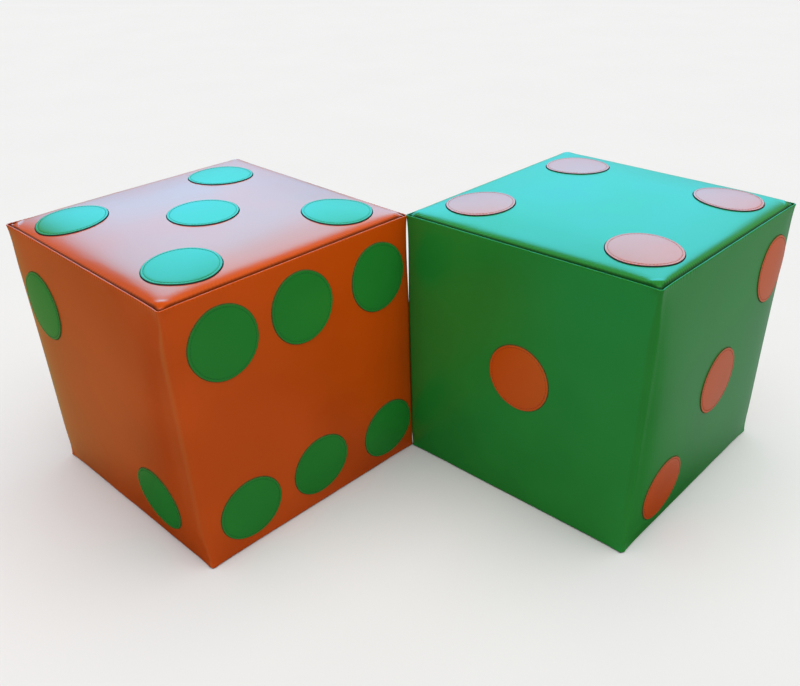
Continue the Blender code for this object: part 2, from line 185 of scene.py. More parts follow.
class Die:
    """Where a die stands, how big it is and the shape of its cover."""

    def __init__(self, prefix, zip_side, seed, soft_corner, crown, shoulder, slack, swells, leans):
        low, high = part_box(f"{prefix}_side_band")
        self.prefix = prefix
        self.body = f"{prefix}_die"
        self.zip_side = zip_side
        self.seed = seed
        self.soft_corner = soft_corner
        self.crown = crown  # swell of the upper panel
        self.shoulder, self.shoulder_width = shoulder  # its steep rise beside the seam
        self.slack = slack  # how much wider it gets along the seams at -X and at -Y
        self.swells = swells  # how far the upright corner at t stands out below its upper part
        self.leans = leans  # how far a top corner of the soft block stands off its place
        self.side = high.z - low.z
        self.half = self.side / 2
        self.bottom = low.z
        self.top = high.z
        self.rim = self.top - RIM_BELOW
        zip_low, zip_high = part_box(f"{prefix}_zip_stop")
        self.zip_level = (zip_low.z + zip_high.z) / 2
        slide = next(j for j in frame["joints"] if j["name"] == f"{prefix}_zip_slide")
        turn = math.atan2(slide["axis"][1], slide["axis"][0]) - (zip_side - 1) * math.pi / 2
        middle = (low + high) / 2
        self.place = Matrix.Translation((middle.x, middle.y, 0)) @ Matrix.Rotation(turn, 4, "Z")
        self.band_moved = None
        self.end_moved = {}

    def zip_share(self, t):
        """1 along the zip and 0 elsewhere, at t round the die."""
        share = t - self.zip_side
        x = (share - 0.5) * self.side
        return np.clip((ZIP_HALF_LENGTH - np.abs(x)) / (3 * MM) + 0.5, 0, 1)

    def band(self, t, up):
        """Outer face of the band at t round the die and up from 0 to 1, with outward normals."""
        t = np.mod(t, 4.0)
        level = 2 * up - 1
        height = up * self.side
        softer = smooth_step((np.minimum(height, self.side - height) - 6 * MM) / (60 * MM))
        radius = SEAM_CORNER + (self.soft_corner - SEAM_CORNER) * softer
        fuller = 0.25 * (radius - SEAM_CORNER)
        plan, normal = square_point(t, self.half + fuller, radius)
        along = 2 * (t - np.floor(t)) - 1
        to_corner = (1 - np.abs(along)) * self.half
        to_seam = np.minimum(height, self.side - height)
        swell = (1 - np.abs(along) ** BULGE_POWER) * (1 - np.abs(level) ** BULGE_POWER)
        on_zip_side = np.floor(t) == self.zip_side
        rise = np.clip(height / ZIP_FLAT, 0, 1)
        swell = np.where(on_zip_side, swell * rise**3, swell)
        out = BULGE * swell - CORNER_PULL * np.abs(along) ** 10 * (1 - level**2)
        out = out + EAR * np.exp(-to_corner / (14 * MM) - to_seam / (9 * MM))
        for corner, amount in self.swells.items():
            away = (np.mod(t - corner + 2, 4) - 2) * self.side / (45 * MM)
            below_top = smooth_step((0.97 - up) / 0.4) * smooth_step(up / 0.1)
            out = out + amount * np.exp(-(away**2)) * below_top
        plan = plan + normal * out[:, None]
        points = np.column_stack([plan, self.bottom + height])
        if self.band_moved:
            flat = np.where(on_zip_side, (1 - rise**3) * (1 - np.abs(along) ** 16), 0.0)
            points = points + self.band_moved(t / 4, up) * (1 - flat)[:, None]
        points = self.lean(points)
        from_zip = np.abs(points[:, 2] - self.zip_level)
        closeness = np.clip((ZIP_HALF_WIDTH + ZIP_LIP - from_zip) / ZIP_LIP, 0, 1)
        sunk = ZIP_DEPTH * (1 - np.sqrt(1 - closeness**2)) * self.zip_share(t)
        sunk = np.where(on_zip_side, sunk, 0.0)
        points[:, :2] -= normal * sunk[:, None]
        return points, np.column_stack([normal, np.zeros(len(t))])

    def end(self, plan, upper):
        """Outer face of an end panel at plan, an (n, 2) array."""
        reach = self.half - SEAM_INSET
        share = np.clip(np.abs(plan / reach), 0, 1)
        falls = 1 - share**CROWN_POWER
        swell = self.crown * falls[:, 0] * falls[:, 1]
        onward = np.clip(plan[:, ::-1] / reach + 1, 0, 2) / 2
        wider = 1 + np.array(self.slack) * onward
        widths = self.shoulder_width * np.where(plan < 0, wider, 1)
        steps = 1 - np.exp(-(1 - share) * reach / widths)
        swell = swell + self.shoulder * steps[:, 0] * steps[:, 1]
        if upper:
            swell = swell + self.corner_creases(plan)
        level = self.rim + swell if upper else np.full(len(plan), self.bottom)
        points = np.column_stack([plan, level])
        moved = self.end_moved.get(upper)
        if moved:
            across = (plan / self.half + 1) / 2
            shift = moved(across[:, 0], across[:, 1])
            if not upper:
                shift[:, 2] = 0.0
            points = points + shift
        return self.lean(points)

    def lean(self, points):
        """Moves the block's soft top corners, and what lies between them in proportion."""
        shares = points[:, :2] / (2 * self.half)
        upward = np.clip((points[:, 2] - self.bottom) / self.side, 0, None)
        for (x_sign, y_sign), shift in self.leans.items():
            share = (0.5 + x_sign * shares[:, 0]) * (0.5 + y_sign * shares[:, 1]) * upward
            points = points + np.clip(share, 0, None)[:, None] * (np.array(shift) * MM)
        return points

    def corner_creases(self, plan):
        """A fold across each corner of the upper panel, where the sheet has nowhere to go."""
        from_tip = (self.half - np.abs(plan)) @ np.array([1, 1]) / math.sqrt(2)
        across = (np.abs(plan[:, 0]) - np.abs(plan[:, 1])) / math.sqrt(2)
        bend = from_tip - across**2 / (60 * MM)

        def fold(height, at, width, reach):
            out = ((bend - at * MM) / (width * MM)) ** 2 + (across / (reach * MM)) ** 2
            return height * MM * np.exp(-out)

        return fold(1.0, 17, 3.4, 12) - fold(1.1, 10.5, 2.6, 9)

    def face(self, name, x, y):
        """Points and outward normals on a face, x to the right and y up seen from outside."""
        step = 0.6 * MM
        if name in ("top", "bottom"):
            flip = 1 if name == "top" else -1

            def surface(x, y):
                return self.end(np.column_stack([x, y * flip]), name == "top")

        else:

            def surface(x, y):
                # A point past an upright corner would jump to the next side's frame.
                share = np.clip(x / self.half, -0.999, 0.999)
                return self.band(name + (share + 1) / 2, y / self.side + 0.5)[0]

        points = surface(x, y)
        right = surface(x + step, y) - surface(x - step, y)
        upward = surface(x, y + step) - surface(x, y - step)
        normals = np.cross(right, upward)
        return points, normals / np.linalg.norm(normals, axis=1, keepdims=True)


# ---------------------------------------------------------------- cloth


def cover_cage(die):
    """The whole cover as one closed coarse mesh, with the index grids of its three pieces."""
    cells = CLOTH_CELLS
    t, up = np.meshgrid(np.arange(4 * cells) / cells, np.arange(cells + 1) / cells, indexing="ij")
    points = [die.band(t.ravel(), up.ravel())[0]]
    band = np.arange(t.size).reshape(t.shape)
    count = t.size
    ends = {}
    for upper in (True, False):
        index = np.empty((cells + 1, cells + 1), int)
        row = cells if upper else 0
        ring = band[:, row]
        index[0, ::-1] = ring[: cells + 1]
        index[:, 0] = ring[cells : 2 * cells + 1]
        index[-1, :] = ring[2 * cells : 3 * cells + 1]
        index[::-1, -1] = np.append(ring[3 * cells :], ring[0])
        inner = np.arange(1, cells) / cells * 2 - 1
        x, y = np.meshgrid(inner, inner, indexing="ij")
        index[1:-1, 1:-1] = count + np.arange(x.size).reshape(x.shape)
        count += x.size
        reach = die.half - SEAM_INSET
        points.append(die.end(np.column_stack([x.ravel(), y.ravel()]) * reach, upper))
        ends[upper] = index
    faces = []
    around = np.append(np.arange(4 * cells), 0)
    for a, b in zip(around[:-1], around[1:]):
        for row in range(cells):
            faces.append((band[a, row], band[b, row], band[b, row + 1], band[a, row + 1]))
    for upper, index in ends.items():
        for i in range(cells):
            for j in range(cells):
                face = [index[i, j], index[i + 1, j], index[i + 1, j + 1], index[i, j + 1]]
                faces.append(tuple(face if upper else face[::-1]))
    return np.concatenate(points), faces, band, ends


def evened(grid):
    """The grid without its sharp wrinkles, its edges as they were."""
    grid = grid.copy()
    for _ in range(CLOTH_EVENING):
        around = grid[:-2, 1:-1] + grid[2:, 1:-1] + grid[1:-1, :-2] + grid[1:-1, 2:]
        grid[1:-1, 1:-1] = (grid[1:-1, 1:-1] + around / 4) / 2
    return grid


def settle(die):
    """Lets the cover swell as cloth over its foam, and keeps how far each point moved."""
    points, faces, band, ends = cover_cage(die)
    mesh = bpy.data.meshes.new("cover_cloth")
    mesh.from_pydata(points.tolist(), [], faces)
    cloth = bpy.data.objects.new("cover_cloth", mesh)
    bpy.context.scene.collection.objects.link(cloth)
    held = cloth.vertex_groups.new(name="held")
    seams = np.concatenate([band[:, 0], band[:, -1], band[::CLOTH_CELLS].ravel()])
    held.add(np.unique(seams).tolist(), 1.0, "REPLACE")
    modifier = cloth.modifiers.new("cloth", "CLOTH")
    settings = modifier.settings
    settings.quality = 6
    settings.mass = 0.3
    settings.tension_stiffness = 30
    settings.compression_stiffness = 30
    settings.shear_stiffness = 15
    settings.bending_stiffness = 2
    settings.use_pressure = True
    settings.uniform_pressure_force = CLOTH_PRESSURE
    settings.effector_weights.gravity = 0
    settings.vertex_group_mass = "held"
    modifier.collision_settings.use_collision = False
    scene = bpy.context.scene
    for number in range(1, CLOTH_FRAMES + 1):
        scene.frame_set(number)
    shown = cloth.evaluated_get(bpy.context.evaluated_depsgraph_get())
    now = np.empty(len(points) * 3, np.float32)
    shown.data.vertices.foreach_get("co", now)
    moved = now.reshape(-1, 3).astype(float) - points
    moved -= moved.mean(axis=0)
    length = np.linalg.norm(moved, axis=1, keepdims=True)
    moved *= CLOTH_CAP * np.tanh(length / CLOTH_CAP) / np.maximum(length, 1e-9)
    scene.frame_set(1)
    bpy.data.objects.remove(cloth)
    bpy.data.meshes.remove(mesh)
    die.band_moved = Field(moved[band], wrap=True)
    for upper, index in ends.items():
        die.end_moved[upper] = Field(evened(moved[index]), wrap=False)


# ---------------------------------------------------------------- meshes


def add_mesh(name, points, faces, die, materials, face_slots=None, painted_seam_shade=None):
    """A smooth piece in the die's frame that rides on the die."""
    mesh = bpy.data.meshes.new(name)
    mesh.from_pydata(np.asarray(points).tolist(), [], faces)
    # The per-point attribute says how much painted shade the vinyl gets, for the dark of the seams.
    if painted_seam_shade is not None:
        mesh.attributes.new("painted_seam_shade", "FLOAT", "POINT").data.foreach_set("value", painted_seam_shade)
    for finish in materials:
        mesh.materials.append(finish)
    if face_slots is not None:
        mesh.polygons.foreach_set("material_index", face_slots)
    mesh.shade_smooth()
    piece = bpy.data.objects.new(name, mesh)
    bpy.context.scene.collection.objects.link(piece)
    piece.matrix_world = die.place
    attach(piece, die.body)
    return piece


def side_marks():
    """Shares along one side: closer together towards the upright corners."""
    steps = [2] * 12 + [4] * 4 + [8] * 40 + [4] * 4 + [2] * 12
    return np.concatenate([[0], np.cumsum(steps)]) / sum(steps), steps


def ring_marks():
    """t of the coarse columns, of the fine columns, and how many fine cells each coarse one has."""
    marks, steps = side_marks()
    cuts_of = {2: 2, 4: 3, 8: 6}
    coarse, fine, cuts = [], [], []
    for side in range(4):
        for low, high, step in zip(marks[:-1], marks[1:], steps):
            count = cuts_of[step]
            coarse.append(side + low)
            cuts.append(count)
            fine.extend(side + low + (high - low) * k / count for k in range(count))
    return np.array(coarse), np.array(fine), cuts


def strip(rows, closed=True):
    """Quads between rows of point numbers, each row as long as the next."""
    faces = []
    for low, high in zip(rows[:-1], rows[1:]):
        count = len(low) if closed else len(low) - 1
        for k in range(count):
            after = (k + 1) % len(low)
            faces.append((low[k], low[after], high[after], high[k]))
    return faces


def fans(coarse, fine, cuts, coarse_below):
    """Faces between a ring of few points and a ring of many. The rings are closed."""
    faces = []
    start = 0
    for k, count in enumerate(cuts):
        here, there = coarse[k], coarse[(k + 1) % len(coarse)]
        run = [fine[(start + j) % len(fine)] for j in range(count + 1)]
        middle = count // 2
        made = [(here, run[j + 1], run[j]) for j in range(middle)]
        made.append((here, there, run[middle]))
        made += [(there, run[j + 1], run[j]) for j in range(middle, count)]
        faces += made if coarse_below else [face[::-1] for face in made]
        start += count
    return faces


def scallops(die, t, salt):
    """Height from -1 to 1 of the small puckers at t round a seam."""
    around = t / 4
    count = 4 * die.side / PUCKER
    phase = 2 * math.pi * (around * round(count) + 0.9 * noise_wave(around, 0.02, die.seed + salt))
    strength = 0.65 + 0.35 * noise_wave(around, 0.008, die.seed + salt + 1)
    return np.cos(phase) * strength


def gathers(die, t, salt):
    around = t / 4
    return noise_wave(around, GATHER / (4 * die.side), die.seed + salt + 2)


def make_band(die, materials):
    """The strip round the sides: a fine fold and puckers at each seam, and a coarser wall."""
    coarse_t, fine_t, cuts = ring_marks()
    zip_rows = np.arange(6.8, 17, 0.45) * MM
    wall = np.concatenate([zip_rows, np.linspace(19 * MM, die.side - 10 * MM, 55)]) / die.side
    points, rows, painted_seam_shade = [], [], []

    def add_row(made, painted_shade_share=0.0):
        first = sum(len(block) for block in points)
        points.append(made)
        rows.append(list(range(first, first + len(made))))
        painted_seam_shade.append(np.full(len(made), painted_shade_share))

    def seam_rows(upper):
        """Rows from the wall over the fold and down into the seam."""
        salt = 10 if upper else 20
        small = scallops(die, fine_t, salt)
        long = gathers(die, fine_t, salt)
        edge, normal = die.band(fine_t, np.full(len(fine_t), 1.0 if upper else 0.0))
        made = []
        drops = (7, 5.4, 4, 3, 2, 1.2, 0.5) if upper else (4.5, 3.4, 2.4, 1.6, 1, 0.5)
        for drop in np.array(drops) * MM:
            up = 1 - (FOLD + drop) / die.side if upper else (FOLD + drop) / die.side
            at = die.band(fine_t, np.full(len(fine_t), up))[0]
            swell = PUCKER_HEIGHT * small * math.exp(-drop / (2.5 * MM))
            swell = swell + GATHER_HEIGHT * long * math.exp(-drop / (12 * MM))
            made.append((at + normal * swell[:, None], 0.0))
        swell = PUCKER_HEIGHT * small + GATHER_HEIGHT * long
        for step in range(9):
            angle = math.pi * step / 8
            inward = FOLD * (1 - math.cos(angle))
            down = FOLD * (1 - math.sin(angle))
            out = swell * (1 + math.cos(angle)) / 2 - inward
            at = edge + normal * out[:, None]
            lift = 0.5 * PUCKER_HEIGHT * small * math.sin(angle)
            at[:, 2] += (lift - down) if upper else (down - lift)
            # Painted shade: none on the outer half of the fold, rising to full at its inner side.
            made.append((at, max(0.0, step / 8 - 0.5) * 2))
        # Down in the seam the band is fully painted shade.
        for depth in (SEAM_DEPTH / 2, SEAM_DEPTH):
            at = edge - normal * (2 * FOLD)
            at[:, 2] += -depth - FOLD if upper else depth + FOLD
            made.append((at, 1.0))
        return made

    lower = seam_rows(False)[::-1]
    for made, painted_shade_share in lower:
        add_row(made, painted_shade_share)
    last_low = len(rows) - 1
    for up in wall:
        add_row(die.band(coarse_t, np.full(len(coarse_t), up))[0])
    first_high = len(rows)
    for made, painted_shade_share in seam_rows(True):
        add_row(made, painted_shade_share)
    faces = strip(rows[: last_low + 1])
    faces += fans(rows[last_low + 1], rows[last_low], cuts, coarse_below=False)
    faces += strip(rows[last_low + 1 : first_high])
    faces += fans(rows[first_high - 1], rows[first_high], cuts, coarse_below=True)
    faces += strip(rows[first_high:])
    points, painted_seam_shade = np.concatenate(points), np.concatenate(painted_seam_shade)
    return add_mesh(f"{die.prefix}_cover_band", points, faces, die, materials, painted_seam_shade=painted_seam_shade)


def make_end(die, upper, name, materials):
    """An end panel: fine rings from the bottom of the seam to a coarser middle."""
    coarse_t, fine_t, cuts = ring_marks()
    salt = 30 if upper else 40
    small = scallops(die, fine_t, salt)
    long = gathers(die, fine_t, salt)
    reach = die.half - SEAM_INSET
    sign = 1 if upper else -1
    inner_ring = 15 * MM
    rings = [(0.0, SEAM_DEPTH + FOLD), (0.1, SEAM_DEPTH * 0.8), (0.35, SEAM_DEPTH * 0.45)]
    rings += [(0.7, SEAM_DEPTH * 0.18), (1.1, SEAM_DEPTH * 0.06)]
    rings += [(inset, 0.0) for inset in (1.7, 2.5, 3.5, 4.8, 6.2, 7.8, 9.4, 11.2, 13.0)]
    points, painted_seam_shade = [], []
    for inset, depth in rings:
        inset *= MM
        # Painted shade: full out to 1.6 mm from the bottom of the seam, gone by 3.4 mm, on the wall
        # the panel rises by.
        painted_seam_shade.append(np.full(len(fine_t), np.clip((3.4 * MM - inset) / (1.8 * MM), 0, 1)))
        corner = max(SEAM_CORNER - SEAM_INSET - inset * 0.3, 0.3 * MM)
        plan = square_point(fine_t, reach - inset, corner)[0]
        at = die.end(plan, upper)
        roll = 0.6 * MM * math.exp(-inset / (1.5 * MM))
        rise = PUCKER_HEIGHT * 1.2 * small * math.exp(-(((inset - 2 * MM) / (2.6 * MM)) ** 2))
        rise = rise + GATHER_HEIGHT * long * math.exp(-inset / (12 * MM)) * min(1, inset / MM)
        at[:, 2] += sign * (rise - roll - depth)
        points.append(at)
    ring_size = len(fine_t)
    rows = [list(range(k * ring_size, (k + 1) * ring_size)) for k in range(len(rings))]
    marks = side_marks()[0] * 2 - 1
    cells = len(marks) - 1
    x, y = np.meshgrid(marks, marks, indexing="ij")
    first = ring_size * len(rings)
    index = first + np.arange(x.size).reshape(x.shape)
    plan = np.column_stack([x.ravel(), y.ravel()]) * (reach - inner_ring)
    points.append(die.end(plan, upper))
    painted_seam_shade.append(np.zeros(len(plan)))
    around = list(index[0, ::-1][:-1]) + list(index[:, 0][:-1])
    around += list(index[-1, :][:-1]) + list(index[::-1, -1][:-1])
    faces = strip(rows) + fans(around, rows[-1], cuts, coarse_below=False)
    for i in range(cells):
        for j in range(cells):
            faces.append((index[i, j], index[i + 1, j], index[i + 1, j + 1], index[i, j + 1]))
    if not upper:
        faces = [face[::-1] for face in faces]
    points, painted_seam_shade = np.concatenate(points), np.concatenate(painted_seam_shade)
    return add_mesh(name, points, faces, die, materials, painted_seam_shade=painted_seam_shade)


def pip_outline(seed):
    """How far the cut edge of a pip stands from a true circle, as a function of the angle."""
    rng = np.random.default_rng(seed)
    lobes = [
        (count, size * rng.uniform(0.3, 1), rng.uniform(0, 2 * math.pi))
        for count, size in ((2, 0.006), (3, 0.004), (5, 0.0025), (9, 0.0015))
    ]

    def outline(angle):
        return 1 + sum(size * np.cos(count * angle + start) for count, size, start in lobes)

    return outline


def make_pip(die, face, name, x, y, materials):
    """A sewn-on disc: a slightly wavy cut edge, a stitch line inside it and a soft middle."""
    outline = pip_outline(die.seed * 1000 + sum(ord(letter) for letter in name))
    flat = face == "bottom"
    thick = PIP_THICK_BELOW if flat else PIP_THICK
    angle = np.arange(PIP_COLUMNS) / PIP_COLUMNS * 2 * math.pi

    def ring(share, angle):
        """Places and outward normals round the pip at this share of its radius."""
        far = outline(angle) * PIP_RADIUS * share
        return die.face(face, x + np.cos(angle) * far, y + np.sin(angle) * far)

    spans, heights = [], []
    for share in PIP_RINGS:
        puff = 0.0 if flat else PIP_PUFF * (1 - share**4)
        sewn = -0.2 * MM * math.exp(-(((share - PIP_SEAM) / 0.012) ** 2))
        rounding = -0.15 * MM * max(0.0, (share - 0.97) / 0.03) ** 2
        spans.append(share)
        heights.append(thick + puff + sewn + rounding)
    # A flat skirt 1 mm wide runs from the foot of the cut edge out over the cover in the cut edge's
    # finish: a dark ring painted round the pip as its shadow.
    spans += [1.0, 1 + 1.0 * MM / PIP_RADIUS, 1 + 1.1 * MM / PIP_RADIUS]
    heights += [0.3 * MM, 0.12 * MM, -PIP_SINK]
    points, rows = [], []
    for share, height in zip(spans, heights):
        base, normal = ring(share, angle[:1] if share == 0.0 else angle)
        first = sum(map(len, points))
        rows.append(list(range(first, first + len(base))))
        points.append(base + normal * height)
    middle = rows[0][0]
    faces = [(middle, a, b) for a, b in zip(rows[1], rows[1][1:] + rows[1][:1])]
    faces += [quad[::-1] for quad in strip(rows[1:])]
    # Slot 1, the cut edge's finish, takes the outer rim, the cut edge and the painted shadow skirt.
    edge_faces = 4 * PIP_COLUMNS
    slots = [0] * (len(faces) - edge_faces) + [1] * edge_faces
    piece = add_mesh(f"{name}_patch", np.concatenate(points), faces, die, materials, slots)
    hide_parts(name)
    if flat:
        return piece, []
    radius = PIP_SEAM * PIP_RADIUS
    count = round(2 * math.pi * radius / STITCH_PITCH)
    at = np.arange(count) / count * 2 * math.pi
    reach = STITCH_LENGTH / 2 / radius
    starts, normals = ring(PIP_SEAM, at - reach)
    ends = ring(PIP_SEAM, at + reach)[0]
    lift = normals * (PIP_THICK - 0.05 * MM)
    stitches = [capsule(a, b, STITCH_RADIUS) for a, b in zip(starts + lift, ends + lift)]
    return piece, stitches


def make_foam(die):
    """The foam block that fills the cover, a little inside it all round."""
    points, faces, _, _ = cover_cage(die)
    middle = np.array([0, 0, die.bottom + die.half])
    mesh_points = middle + (points - middle) * (1 - 5 * MM / die.half)
    block = add_mesh(f"{die.prefix}_foam_block", mesh_points, faces, die, [foam_finish])
    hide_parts(f"{die.prefix}_foam_core")


def zip_frame(die):
    """Points of the zip's face: x to the right along it, y up and z outward, on the band."""
    angle = math.pi + die.zip_side * math.pi / 2
    outward = np.array([math.cos(angle), math.sin(angle), 0.0])
    right = np.array([-math.sin(angle), math.cos(angle), 0.0])
    origin = outward * die.half + np.array([0, 0, die.zip_level])

    def place(x, y, z):
        x, y, z = np.broadcast_arrays(x, y, z)
        flat = origin + x[..., None] * right + z[..., None] * outward
        return flat + y[..., None] * np.array([0, 0, 1.0])

    return place


def capsule(start, end, radius, sides=6):
    """A short thread or tooth: a tube from start to end with rounded ends."""
    start, end = np.asarray(start), np.asarray(end)
    along = end - start
    length = np.linalg.norm(along)
    along = along / length
    across = np.cross(along, (0.31, 0.57, 0.76))
    across /= np.linalg.norm(across)
    third = np.cross(along, across)
    angle = np.arange(sides) / sides * 2 * math.pi
    ring = np.cos(angle)[:, None] * across + np.sin(angle)[:, None] * third
    stations = [(-radius * 0.5, 0.62), (0.0, 1.0), (length, 1.0), (length + radius * 0.5, 0.62)]
    points = [start + along * at + ring * radius * size for at, size in stations]
    points.append(np.array([start - along * radius * 0.8, end + along * radius * 0.8]))
    rows = [[k * sides + j for j in range(sides)] for k in range(4)]
    faces = strip(rows)
    for j in range(sides):
        after = (j + 1) % sides
        faces.append((rows[0][after], rows[0][j], 4 * sides))
        faces.append((rows[3][j], rows[3][after], 4 * sides + 1))
    return np.concatenate(points), faces


def gather_pieces(pieces):
    """Joins (points, faces) pieces into one."""
    points, faces, first = [], [], 0
    for made, made_faces in pieces:
        points.append(made)
        faces += [tuple(index + first for index in face) for face in made_faces]
        first += len(made)
    return np.concatenate(points), faces


def make_zip(die):
    """Two woven tapes at the bottom of the slot, each with a row of teeth, and their stitching."""
    place = zip_frame(die)
    surface = -ZIP_DEPTH + 0.15 * MM
    for side, word in ((1, "upper"), (-1, "lower")):
        x = np.linspace(-ZIP_HALF_LENGTH, ZIP_HALF_LENGTH, 165)
        y = np.array([0.25, 0.5, 1.4, 2.4, 3.0, 3.3]) * MM * side
        wave = 0.08 * MM * noise_wave((x + ZIP_HALF_LENGTH) / (2 * ZIP_HALF_LENGTH), 0.05, die.seed)
        grid_x, grid_y = np.meshgrid(x, y, indexing="ij")
        rise = np.array([-0.35, 0, 0, 0, 0, -0.1]) * MM
        points = place(grid_x, grid_y, surface + rise[None, :] + wave[:, None]).reshape(-1, 3)
        rows = [list(range(k * len(y), (k + 1) * len(y))) for k in range(len(x))]
        faces = strip(rows, closed=False)
        if side < 0:
            faces = [face[::-1] for face in faces]
        tape = add_mesh(f"{die.prefix}_tape_{word}", points, faces, die, [tape_finish])
        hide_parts(f"{die.prefix}_zip_tape_{word}")
        count = int(2 * (ZIP_HALF_LENGTH - 2 * MM) / COIL_PITCH)
        teeth = []
        for k in range(count):
            at = -ZIP_HALF_LENGTH + 2 * MM + (k + (0.5 if side > 0 else 0.0)) * COIL_PITCH
            low = place(at, -0.35 * MM * side, surface + 0.55 * MM)
            high = place(at + 0.25 * MM, 2.3 * MM * side, surface + 0.6 * MM)
            teeth.append(capsule(low, high, 0.5 * MM))
        points, faces = gather_pieces(teeth)
        coil = add_mesh(f"{die.prefix}_coil_{word}", points, faces, die, [coil_finish])
    threads = []
    for side in (1, -1):
        for k in range(int(2 * ZIP_HALF_LENGTH / (4 * MM))):
            at = -ZIP_HALF_LENGTH + 2 * MM + k * 4 * MM
            level = side * (ZIP_HALF_WIDTH + ZIP_LIP + 1.4 * MM)
            start = place(at - 1.3 * MM, level, 0.12 * MM)
            end = place(at + 1.3 * MM, level, 0.12 * MM)
            threads.append(capsule(start, end, 0.28 * MM))
    points, faces = gather_pieces(threads)
    stitching = add_mesh(f"{die.prefix}_zip_stitches", points, faces, die, [thread_finish])
    for word in ("stop", "slider", "pull"):
        metal = bpy.data.objects[f"{die.prefix}_zip_{word}"]
        metal.data.materials.clear()
        metal.data.materials.append(metal_finish)


# ---------------------------------------------------------------- materials


def shader(name):
    """A new material with its node tree and its Principled shader."""
    made = bpy.data.materials.new(name)
    made.use_nodes = True
    tree = made.node_tree
    return made, tree, tree.nodes["Principled BSDF"]


def node(tree, kind, inputs=(), **settings):
    made = tree.nodes.new(kind)
    for key, value in settings.items():
        setattr(made, key, value)
    for key, value in dict(inputs).items():
        if isinstance(value, bpy.types.NodeSocket):
            tree.links.new(value, made.inputs[key])
        else:
            made.inputs[key].default_value = value
    return made


def smooth_range(tree, value, low, high):
    """1 where value has passed high and 0 where it hasn't reached low, smooth between them."""
    inputs = {"Value": value, "From Min": low, "From Max": high}
    made = node(tree, "ShaderNodeMapRange", inputs, interpolation_type="SMOOTHSTEP")
    return made.outputs["Result"]


def product(tree, *values):
    total = values[0]
    for value in values[1:]:
        made = node(tree, "ShaderNodeMath", {0: total, 1: value}, operation="MULTIPLY")
        total = made.outputs["Value"]
    return total


def blend_colors(tree, share, first, second, kind="MIX"):
    made = node(
        tree, "ShaderNodeMix", {"Factor": share, "A": first, "B": second},
        data_type="RGBA", blend_type=kind,
    )
    return made.outputs["Result"]


def ramp(tree, value, stops):
    made = node(tree, "ShaderNodeValToRGB", {"Fac": value})
    elements = made.color_ramp.elements
    while len(elements) < len(stops):
        elements.new(0.5)
    for element, (at, color) in zip(elements, stops):
        element.position = at
        element.color = (*color, 1.0)
    return made.outputs["Color"]


def bump(tree, height, strength, distance, below=None):
    inputs = {"Height": height, "Strength": strength, "Distance": distance}
    if below:
        inputs["Normal"] = below
    return node(tree, "ShaderNodeBump", inputs).outputs["Normal"]


def vinyl(name, color, seed, specular, tint):
    """Soft coated cloth: fine grain, slow unevenness, and painted shade in the seams."""
    made, tree, principled = shader(name)
    where = node(tree, "ShaderNodeTexCoord").outputs["Object"]
    shifted = node(tree, "ShaderNodeMapping", {"Vector": where, "Location": (seed, seed, seed)})
    place = shifted.outputs["Vector"]
    cloud = node(tree, "ShaderNodeTexNoise", {"Vector": place, "Scale": 7.0, "Detail": 1.0})
    fine = node(tree, "ShaderNodeTexNoise", {"Vector": place, "Scale": 900.0, "Detail": 3.0})
    grain = node(tree, "ShaderNodeTexVoronoi", {"Vector": place, "Scale": 1100.0})
    slow = node(tree, "ShaderNodeTexNoise", {"Vector": place, "Scale": 12.0, "Detail": 0.0})
    uneven = smooth_range(tree, cloud.outputs["Fac"], 0.2, 0.8)
    darker = tuple(channel * 0.90 for channel in color)
    lighter = tuple(min(1.0, channel * 1.08) for channel in color)
    body = blend_colors(tree, uneven, (*darker, 1.0), (*lighter, 1.0))
    # Painted shade: where the mesh's seam shade attribute says, the colour goes down to 0.4 of
    # itself, for the dark of the seams.
    painted_seam_shade = node(tree, "ShaderNodeAttribute", attribute_name="painted_seam_shade").outputs["Fac"]
    painted_shade_color = tuple(channel * 0.4 for channel in color)
    body = blend_colors(tree, painted_seam_shade, body, (*painted_shade_color, 1.0))
    tree.links.new(body, principled.inputs["Base Color"])
    gloss = node(tree, "ShaderNodeMapRange", {"Value": uneven, "To Min": 0.28, "To Max": 0.33})
    tree.links.new(gloss.outputs["Result"], principled.inputs["Roughness"])
    principled.inputs["Specular IOR Level"].default_value = specular
    principled.inputs["Specular Tint"].default_value = (*tint, 1.0)
    normal = bump(tree, slow.outputs["Fac"], 0.1, 1 * MM)
    normal = bump(tree, grain.outputs["Distance"], 0.09, 0.2 * MM, normal)
    normal = bump(tree, fine.outputs["Fac"], 0.05, 0.2 * MM, normal)
    tree.links.new(normal, principled.inputs["Normal"])
    return made


def cut_edge(name, color):
    """The cut edge of a vinyl disc, where the dark cloth backing shows. Its darker copy on the
    upper faces is painted shade.
    """
    made, tree, principled = shader(name)
    where = node(tree, "ShaderNodeTexCoord").outputs["Object"]
    fuzz = node(tree, "ShaderNodeTexNoise", {"Vector": where, "Scale": 700.0, "Detail": 3.0})
    body = ramp(tree, fuzz.outputs["Fac"], [(0.35, tuple(c * 0.5 for c in color)), (0.65, color)])
    tree.links.new(body, principled.inputs["Base Color"])
    principled.inputs["Roughness"].default_value = 0.9
    principled.inputs["Specular IOR Level"].default_value = 0.2
    return made


def plain(name, color, roughness):
    made, tree, principled = shader(name)
    where = node(tree, "ShaderNodeTexCoord").outputs["Object"]
    cloud = node(tree, "ShaderNodeTexNoise", {"Vector": where, "Scale": 3.0, "Detail": 2.0})
    darker = tuple(channel * 0.985 for channel in color)
    body = ramp(tree, cloud.outputs["Fac"], [(0.3, darker), (0.7, color)])
    tree.links.new(body, principled.inputs["Base Color"])
    principled.inputs["Roughness"].default_value = roughness
    return made


